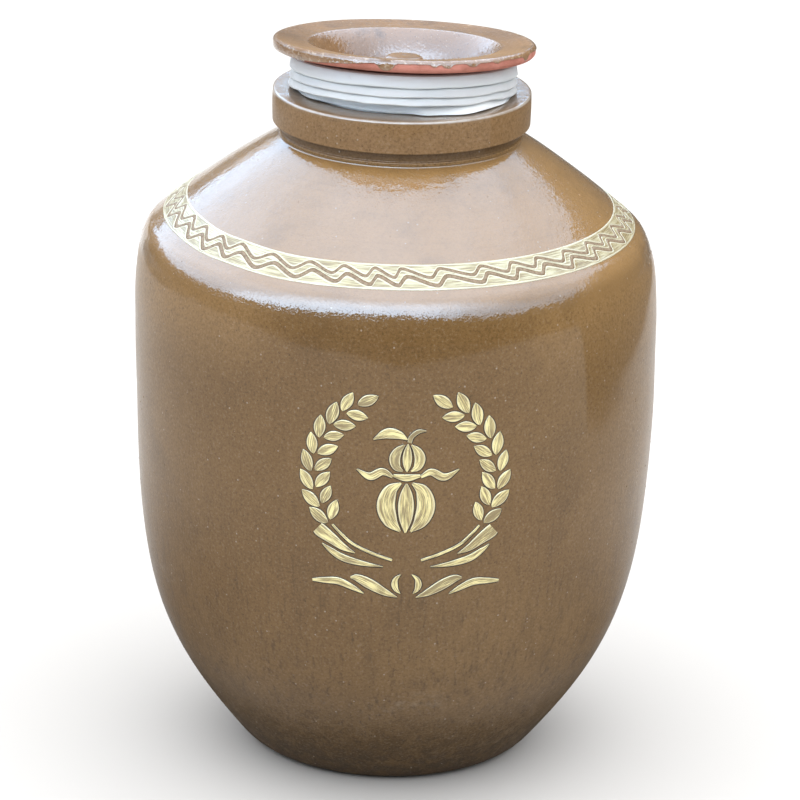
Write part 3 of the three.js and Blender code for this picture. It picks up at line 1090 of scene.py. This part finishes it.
def bareTop(angle):  # where the bare clay stops on the rim, along the rim path
    turn = bearing(angle)
    level = tableAt(lidSize["bareTop"], turn)
    level += sum(size * ringNoise(angle, *where) for size, *where in lidSize["uneven"])
    for at, wide, deep in lidSize["runs"]:
        gap = (turn - at + 180) % 360 - 180
        level -= deep * mm * math.exp(-(gap / wide) ** 4)
    return max(level, lidSize["bareLeast"])


def pathAt(path, lengths, d):
    for k in range(1, len(path)):
        if d <= lengths[k] or k == len(path) - 1:
            f = (d - lengths[k - 1]) / (lengths[k] - lengths[k - 1])
            a, b = Vector(path[k - 1]), Vector(path[k])
            way = (b - a).normalized()
            return a.lerp(b, f), Vector((way.y, -way.x))


def makeLid():
    low = softCorners(lidSize["plug"], 6, 0.006)
    rim = softCorners(lidSize["rim"], 5, 0.0012)
    high = softCorners(lidSize["top"], 6, 0.004)
    lengths = [0.0]
    for a, b in zip(rim, rim[1:]):
        lengths.append(lengths[-1] + math.hypot(b[0] - a[0], b[1] - a[1]))
    below, above, step = lidSize["below"], lidSize["above"], lidSize["step"]
    rows = low[:-1] + [None] * (below + above + 2) + high[1:]  # the rim's rows follow the bare edge
    start = len(low) - 1

    def rimPoint(k, angle):
        edge = bareTop(angle)
        if k <= below:
            return *pathAt(rim, lengths, edge * k / below), 0.0
        f = (k - below - 1) / above
        d = edge + step + (lengths[-1] - edge - step) * f ** 1.25
        swell = 1.0 + 0.7 * math.exp(-((d - edge) / 0.0011) ** 2)
        return *pathAt(rim, lengths, d), lidSize["glaze"] * swell * (1 - smoothStep(0.6, 1.0, f))

    def place(i, angle):
        if rows[i] is None:
            p, away, coat = rimPoint(i - start, angle)
            chip = max(0.0, ringNoise(angle, 16, 3) - lidSize["chipFrom"])
            worn = lidSize["chip"] * chip * smoothStep(*lidSize["chipEdge"], p.x)
            r, z = p + away * (coat - worn)
        else:
            r, z = rows[i]
        warp = lidSize["warp"] * ringNoise(angle, 1.1, 5) * smoothStep(0.078, 0.1, r)
        return lidToJar(*turned(r, angle, z + warp))

    def shine(i):
        dull = lidSize["dull"]
        if rows[i] is None:
            return dull + (1 - dull) * smoothStep(below + 14, below + 9, i - start)
        if i < start:
            return 0.0
        r, z = rows[i]
        if 0.0140 < r < 0.0173 and z > -0.0090:  # bright edge of the knob
            return 0.9
        return dull + (1 - dull) * smoothStep(*lidSize["bowlEdge"], r) * smoothStep(*lidSize["knobFoot"], r)

    n = lidSize["facets"]
    verts, faces = latheMesh(rows, n, place)
    bare, wet = [1.0], [0.0]
    for i in range(1, len(rows) - 1):
        bare += [1.0 if i <= start + below else 0.0] * n
        wet += [shine(i)] * n
    return makePiece("lid_skin", verts, faces, lidGlaze, layers={"bare": bare + [0.0], "wet": wet + [1.0]})


lidSkin = makeLid()
print("lid turned:", len(lidSkin.data.polygons), "faces")


# The seal: a sleeve with a rolled cuff under the flange, and soft drooping fins below it
seal = {
    "facets": 288, "fins": 4, "first": 0.0217, "pitch": 0.0069, "tip": 0.096, "gap": 0.0003, "wall": 0.0025,
    "end": 0.0436, "wave": 0.0012, "seed": 3.0, "ledge": 0.5806, "bore": 0.0814, "finRoot": 0.0175,
    "soft": 0.0011, "sinkFrom": (0.0030, 0.0085), "rootLift": 0.0015, "rootFrom": (0.0865, 0.0785),
    "boreGap": 0.0035, "restGap": 0.0006, "depths": (0.0066, 0.016, 0.026, 0.036), "outerTop": 0.018,
    # bearing, and how far out the lowest fin lies there
    "resting": ((-180, 0.079), (-90, 0.090), (-64, 0.0886), (-46, 0.082), (-19, 0.0798), (0, 0.081),
                (15, 0.0893), (36, 0.0955), (59, 0.094), (90, 0.092), (180, 0.079)),
    # a fin's cut, outwards and down from its tip
    "section": ((-0.0175, 0.0058), (-0.0110, 0.0068), (-0.0064, 0.0072), (-0.0036, 0.0066), (-0.0021, 0.0048),
                (-0.0013, 0.0028), (-0.0006, 0.0011), (0.0, -0.0002), (-0.0004, -0.0011), (-0.0013, -0.0011),
                (-0.0024, 0.0008), (-0.0042, 0.0032), (-0.007, 0.0046), (-0.011, 0.0046), (-0.0175, 0.0036)),
    "cuff": ((0.0785, -0.0150), (0.0800, -0.0126), (0.0850, -0.0118), (0.0905, -0.0126), (0.0942, -0.0146),
             (0.0954, -0.0151), (0.0960, -0.0142), (0.0957, -0.0118), (0.0951, -0.0090), (0.0945, -0.0064),
             (0.0934, -0.0046), (0.0912, -0.0040), (0.0880, -0.0043), (0.0820, -0.0054), (0.0775, -0.0063)),
}


def plugFlank(depth):
    return 0.075 - 0.006 * (depth - 0.006) / 0.041


def makeFinTree():
    tree, given = newTree("finStack", {
        "Section": "Object", "Fins": "Int", "First": "Float", "Pitch": "Float", "Facets": "Int",
        "Wave": "Float", "Seed": "Float"})
    profile = geo(tree, "ObjectInfo", {"Object": given["Section"]}, "Geometry")
    profile = geo(tree, "MeshToCurve", {"Mesh": profile})
    path = geo(tree, "CurvePrimitiveCircle", {"Resolution": given["Facets"], "Radius": 1.0}, mode="RADIUS")
    hoop = geo(tree, "CurveToMesh", {"Curve": path, "Profile Curve": profile})
    drop = point(tree, z=times(tree, given["Pitch"], -1.0))
    head = point(tree, z=times(tree, given["First"], -1.0))
    line = {"Count": given["Fins"], "Start Location": head, "Offset": drop}
    line = geo(tree, "MeshLine", line, mode="OFFSET", count_mode="TOTAL")
    stack = geo(tree, "InstanceOnPoints", {"Points": line, "Instance": hoop})
    stack = store(tree, stack, "ring", plus(tree, geo(tree, "InputIndex"), 1.0))
    join = tree.nodes.new("GeometryNodeJoinGeometry")
    tree.links.new(geo(tree, "RealizeInstances", {0: stack}), join.inputs[0])
    tree.links.new(given["Geometry"], join.inputs[0])
    # every fin waves in its own way, most at its tip
    reach = stored(tree, "reach")
    ring = stored(tree, "ring")
    flat = vectorCalc(tree, "MULTIPLY", {0: geo(tree, "InputPosition"), 1: (1.0, 1.0, 0.0)})
    flat = vectorCalc(tree, "NORMALIZE", {0: flat})
    lift = point(tree, z=plus(tree, times(tree, ring, 3.7), given["Seed"]))
    seedPlace = vectorCalc(tree, "ADD", {0: flat, 1: lift})
    waver = calc(tree, "SUBTRACT", cloud(tree, seedPlace, 2.1, 2.0, 0.45), 0.5)
    waver = times(tree, waver, times(tree, given["Wave"], 4.0))
    waver = times(tree, waver, times(tree, reach, calc(tree, "MULTIPLY_ADD", ring, 0.28, 0.6)))
    puff = shade(tree, "TexNoise", {"Vector": seedPlace, "Scale": 3.3, "Detail": 2.0}, "Fac")
    puff = times(tree, calc(tree, "SUBTRACT", puff, 0.55), given["Wave"], times(tree, reach, 3.0))
    move = vectorCalc(tree, "SCALE", {0: flat, "Scale": puff})
    move = vectorCalc(tree, "ADD", {0: move, 1: point(tree, z=waver)})
    return endTree(tree, geo(tree, "SetPosition", {"Geometry": join.outputs[0], "Offset": move}), given)


def finSection():  # laid so that X runs outwards and Y down when swept round the unit circle
    points = smoothPath(seal["section"] + seal["section"][:1], 34)[:-1]
    n = len(points)
    mesh = bpy.data.meshes.new("fin_section")
    verts = [(seal["tip"] - 1.0 + x, -y, 0) for x, y in points]
    mesh.from_pydata(verts, [(k, (k + 1) % n) for k in range(n)], [])
    addLayer(mesh, "reach", [smoothStep(-0.0165, 0.0, x) for x, _ in points])
    return addObject("fin_section", mesh)


def sleeveMesh():
    first, *depths = seal["depths"] + (seal["end"],)
    inner = [(plugFlank(d) + seal["gap"], -d) for d in (first, *depths)]
    outer = [(plugFlank(d) + seal["gap"] + seal["wall"], -d) for d in depths[:0:-1] + [seal["outerTop"]]]
    loop = inner + outer + smoothPath(seal["cuff"], 40)
    n = seal["facets"]
    rings = [[turned(r, 2 * math.pi * j / n, z) for r, z in loop] for j in range(n)]
    reach = [smoothStep(0.088, 0.0958, r) * smoothStep(-0.0035, -0.0105, z) for r, z in loop] * n
    ring = [-1.0 if z > -0.0058 and r < 0.0940 else 0.0 for r, z in loop] * n  # -1 where the flange presses
    layers = {"reach": reach, "ring": ring}
    return makePiece("seal_sleeve", *ringMesh(rings, True), sealSilicone, layers=layers)


def pressed(spot, ring):  # lays a fin on the ledge, or folds it into the bore where the lid sinks deep
    x, y, z = spot
    far, ledge, bore = seal["tip"], seal["ledge"], seal["bore"]
    angle = math.atan2(x, -y)
    tip = seal["first"] + (ring - 1) * seal["pitch"]
    tipHeight = lidToJar(*turned(far, angle, -tip))[2]
    if ring > 0.5:
        sink = 1.0 if ring > 3.5 else smoothStep(*seal["sinkFrom"], ledge - tipHeight)
        r = math.hypot(x, y)
        root = plugFlank(tip) + seal["rootLift"]
        gap = far - seal["finRoot"] - root
        rooted = r - gap * smoothStep(*seal["rootFrom"], r)  # the fin's root runs into the sleeve
        tucked = rooted
        if rooted > root:
            tucked = root + (rooted - root) * (bore - seal["boreGap"] - root) / (far - root)
        inner = rooted + (tucked - rooted) * sink
        if 2.5 < ring < 3.5 and rooted > root:  # the one that rests on the ledge
            share = (rooted - root) / (far - root)
            inner = root + (tableAt(seal["resting"], math.degrees(angle)) - root) * share
            z -= max(tipHeight - ledge - seal["restGap"], 0.0) * share * share
        x, y = x * inner / r, y * inner / r
    px, py, pz = lidToJar(x, y, z)
    over = (pz - ledge) / seal["soft"]
    lifted = pz if over > 30 else ledge + seal["soft"] * math.log1p(math.exp(over))
    share = smoothStep(bore - 0.003, bore + 0.002, math.hypot(px, py))
    return px, py, pz + (lifted - pz) * share


def makeSeal():
    section = finSection()
    obj = sleeveMesh()
    values = {name.capitalize(): seal[name] for name in ("fins", "first", "pitch", "facets", "wave", "seed")}
    mesh = growNodes(obj, makeFinTree(), {"Section": section, "Material": sealSilicone, **values})
    bpy.data.objects.remove(section)
    rings = mesh.attributes["ring"].data
    for v in mesh.vertices:
        v.co = pressed(v.co, rings[v.index].value)
    faceOut(mesh)
    return obj


sealSleeve = makeSeal()
print("seal moulded:", len(sealSleeve.data.polygons), "faces")


# Small lumps baked into the glaze
grit = {
    "perArea": 620 / 0.9, "size": 0.0009, "seed": 12, "lowest": 0.03, "highest": 0.574, "least": 0.35,
    "flat": 0.4,
}


def makeGritTree():
    tree, given = newTree("glazeGrit", {"Density": "Float", "Size": "Float", "Seed": "Int"})
    height = shade(tree, "SeparateXYZ", {0: geo(tree, "InputPosition")}, 2)
    outside = calc(tree, "LESS_THAN", stored(tree, "inner"), 0.5)
    above = calc(tree, "GREATER_THAN", height, grit["lowest"])
    share = times(tree, outside, above, calc(tree, "LESS_THAN", height, grit["highest"]))
    spots = addNode(tree, "GeometryNodeDistributePointsOnFaces", {
        "Mesh": given["Geometry"], "Selection": share, "Density": given["Density"], "Seed": given["Seed"],
    }, distribute_method="RANDOM").outputs
    lump = geo(tree, "MeshUVSphere", {"Segments": 8, "Rings": 4, "Radius": given["Size"]}, "Mesh")
    big = chance(tree, grit["least"], 1.0, given["Seed"])
    put = geo(tree, "InstanceOnPoints", {
        "Points": spots["Points"], "Instance": lump, "Rotation": spots["Rotation"],
        "Scale": point(tree, big, big, times(tree, big, grit["flat"]))})
    return endTree(tree, geo(tree, "RealizeInstances", {0: put}), given)


def makeGrit():
    obj = addObject("glaze_grit", jarSkin.data.copy())
    values = {"Density": grit["perArea"], "Size": grit["size"], "Seed": grit["seed"], "Material": jarGlaze}
    growNodes(obj, makeGritTree(), values).shade_smooth()
    return obj


glazeGrit = makeGrit()
print("grit scattered:", len(glazeGrit.data.polygons), "faces")


# Pale floor, one wide soft light overhead, white all round
studio = {
    "floor": (0.565, 0.560, 0.555, 1), "bounce": (0.380, 0.360, 0.340, 1), "whiteFrom": (2.6, 5.5),
    "rows": (0.35, 0.7, 1.2, 2, 3, 4, 5, 6, 8, 14.0), "facets": 96,
    "light": 2.35, "size": (8.2, 9.2), "place": (0.2, 0.1, 2.4), "tint": (1.0, 0.995, 0.985), "fill": 0.28,
}


def seenPlainly(tree):  # by the camera, in a shine or through something clear
    rays = addNode(tree, "ShaderNodeLightPath").outputs
    turnedAside = calc(tree, "MAXIMUM", rays["Is Glossy Ray"], rays["Is Transmission Ray"])
    return calc(tree, "MAXIMUM", rays["Is Camera Ray"], turnedAside)


def makeFloor():
    n, rows = studio["facets"], studio["rows"]
    verts, faces = [(0, 0, 0)], []
    for r in rows:
        verts += [turned(r, 2 * math.pi * j / n, 0) for j in range(n)]
    for j in range(n):
        k = (j + 1) % n
        faces.append((0, 1 + j, 1 + k))
        for i in range(len(rows) - 1):
            a, b = 1 + i * n, 1 + (i + 1) * n
            faces.append((a + j, b + j, b + k, a + k))
    mesh = bpy.data.meshes.new("studio_floor")
    mesh.from_pydata(verts, [], faces)
    material, tree, shader, place = newMaterial("floorPaint")
    feed(tree, shader, {
        "Base Color": layColour(tree, seenPlainly(tree), studio["bounce"], studio["floor"]),
        "Roughness": 0.9,
        "Specular IOR Level": 0.1,
    })
    far = spread(tree, vectorCalc(tree, "LENGTH", {0: place}, "Value"), *studio["whiteFrom"])
    glow = shade(tree, "Emission", {"Color": (1, 1, 1, 1), "Strength": 1.0})
    showInstead(tree, shade(tree, "MixShader", {0: far, 1: shader.outputs[0], 2: glow}))
    mesh.materials.append(material)
    return addObject("studio_floor", mesh)


def makeLight():
    lamp = bpy.data.lights.new("overheadPanel", "AREA")
    lamp.shape = "RECTANGLE"
    lamp.size, lamp.size_y = studio["size"]
    lamp.energy = studio["light"] * math.pi * lamp.size * lamp.size_y
    lamp.color = studio["tint"]
    panel = addObject("overheadPanel", lamp)
    panel.location = studio["place"]
    panel.visible_camera = panel.visible_glossy = False
    world = bpy.data.worlds.new("whiteRoom")
    scene.world = world
    world.use_nodes = True
    tree = world.node_tree
    tree.nodes.clear()
    level = spread(tree, seenPlainly(tree), 0.0, 1.0, studio["fill"], 1.0)
    white = shade(tree, "Background", {"Color": (1, 1, 1, 1), "Strength": level})
    addNode(tree, "ShaderNodeOutputWorld", {0: white})


# Cards seen only in the shine: a bright sky, dark walls and ceiling, dark mats on the floor
cards = {
    "felt": (0.050, 0.040, 0.030, 1), "ceilingHeight": 2.46,
    "ceiling": ((1.5, -6), (9, -6), (9, 8), (1.5, 8)),
    "sky": (0.76, 1.09, 1.50, 1), "haze": (0.82, 1.10, 1.44, 1), "skyLevel": 3.1, "skyHeight": 2.39,
    "skyEdge": ((-14.0, -9.5), (3.4, -9.5), (7.5, -6.5), (9.0, -3.5), (8.6, -1.2), (5.6, 0.5), (2.5, 1.2),
                (2.2, 1.6), (2.3, 2.3), (2.2, 2.8), (1.8, 3.4), (1.6, 6.0), (-2.6, 6.1), (-4.3, 9.5),
                (-12.0, 9.5)),
    "wallAway": 4.3, "eyeLevel": 0.45, "wallFoot": 0.03, "wallSteps": 81,
    # bearing, and elevation of the wall's top edge
    "wallTop": ((-146, 15), (-130, 12), (-113, 9), (-84, 9), (-57, 11), (-38, 14), (-19, 17.5), (2, 20),
                (22, 16.5), (43, 12.5), (63, 14.5), (80, 13.5), (92, 19), (104, 24), (131, 25), (160, 24),
                (172, 19), (181, 12), (198, 11), (214, 12)),
    "wallOpen": (178, 188, 0.42),  # past these bearings the wall hangs clear of the floor by this much
    "mats": (  # dark on the floor near the foot, a painted shadow seen in reflections: bearings, then distance and how solid it is there
        (25, 178, ((0.15, 0.9), (0.32, 0.8), (0.66, 0.0))),
        (-178, -25, ((0.15, 0.95), (0.38, 0.75), (0.75, 0.0)))),
    "matSteps": 16,
    # dark further out: bearing, and where it begins
    "matEdge": ((-150, 2.2), (-114, 2.7), (-95, 4.0), (-74, 4.25), (-58, 3.9), (-39, 2.95), (-18, 2.75),
                (2, 2.05), (22, 2.55), (44, 3.4), (63, 4.2), (83.5, 4.2), (85.5, 1.2), (94, 1.16),
                (101, 1.19), (108, 1.22), (117, 1.3), (127, 1.44), (135, 1.56), (150, 1.9), (178, 2.4)),
    "matSoft": 0.10, "matHeight": 0.012,
}


def glossCard(name, verts, faces, material):
    mesh = bpy.data.meshes.new(name)
    mesh.from_pydata(verts, [], faces)
    mesh.materials.append(material)
    obj = addObject(name, mesh)
    obj.visible_camera = obj.visible_diffuse = obj.visible_shadow = obj.visible_transmission = False
    return obj


def makeFelt():
    material, tree, shader, _ = newMaterial("cardFelt")
    feed(tree, shader, {"Base Color": cards["felt"], "Roughness": 0.9})
    clear = shade(tree, "BsdfTransparent")
    showInstead(tree, shade(tree, "MixShader", {0: layerOf(tree, "solid"), 1: clear, 2: shader.outputs[0]}))
    return material


def makeDarkCards():
    away, flat = cards["wallAway"], cards["matHeight"]
    verts = [(x, y, cards["ceilingHeight"]) for x, y in cards["ceiling"]]
    faces = [(0, 1, 2, 3)]
    first, last, clear = cards["wallOpen"]
    for turn, rise in smoothPath(cards["wallTop"], cards["wallSteps"]):
        top = cards["eyeLevel"] + away * math.tan(math.radians(rise))
        foot = cards["wallFoot"] + clear * smoothStep(first, last, turn)
        verts += [turned(away, math.radians(turn), z) for z in (foot, top)]
    faces += [(k, k + 2, k + 3, k + 1) for k in range(4, len(verts) - 2, 2)]
    solid = [1.0] * len(verts)
    steps = cards["matSteps"]
    for first, last, rings in cards["mats"]:
        begin, n = len(verts), len(rings)
        for k in range(steps + 1):
            turn = math.radians(first + (last - first) * k / steps)
            verts += [turned(r, turn, flat) for r, _ in rings]
            solid += [level * smoothStep(0, steps / 2, min(k, steps - k)) for _, level in rings]
        for k in range(begin, len(verts) - n, n):
            faces += [(k + i, k + i + 1, k + n + i + 1, k + n + i) for i in range(n - 1)]
    begin = len(verts)
    for turn, near in cards["matEdge"]:
        verts += [turned(r, math.radians(turn), flat) for r in (near * (1 - cards["matSoft"]), near, away)]
        solid += [0.0, 1.0, 1.0]
    for k in range(begin, len(verts) - 3, 3):
        faces += [(k + i, k + i + 1, k + i + 4, k + i + 3) for i in (0, 1)]
    obj = glossCard("dark_cards", verts, faces, makeFelt())
    addLayer(obj.data, "solid", solid)
    return obj


def makeSkyCard():
    material, tree, shader, place = newMaterial("skyCard")
    tree.nodes.remove(shader)
    across, along, _ = addNode(tree, "ShaderNodeSeparateXYZ", {0: place}).outputs
    near = spread(tree, along, -1.1, -2.9)
    front = times(tree, near, spread(tree, across, 0.6, 4.2, 1.0, 0.25))
    level = calc(tree, "MULTIPLY_ADD", front, 1.1, spread(tree, across, -0.4, 2.6, 0.92, 0.48))
    haze = streaks(tree, place, (0.9, 0.35, 1.0), 2)
    level = plus(tree, level, spread(tree, haze, 0.35, 0.7, -0.12, 0.12))
    tint = layColour(tree, near, cards["sky"], cards["haze"])
    level = times(tree, level, cards["skyLevel"])
    showInstead(tree, shade(tree, "Emission", {"Color": tint, "Strength": level}))
    verts = [(x, y, cards["skyHeight"]) for x, y in cards["skyEdge"]]
    return glossCard("sky_card", verts, [tuple(range(len(verts)))], material)


floor = makeFloor()
makeLight()
shineCards = [makeDarkCards(), makeSkyCard()]
print("studio lit")

for piece in (jarSkin, goldBand, bandScratches, wheatEars, leafSprays, gourdMark, glazeGrit):
    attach(piece, "jar")
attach(lidSkin, "lid")
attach(sealSleeve, "seal")
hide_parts("jar_body")
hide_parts("lid")
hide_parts("lid_seal")
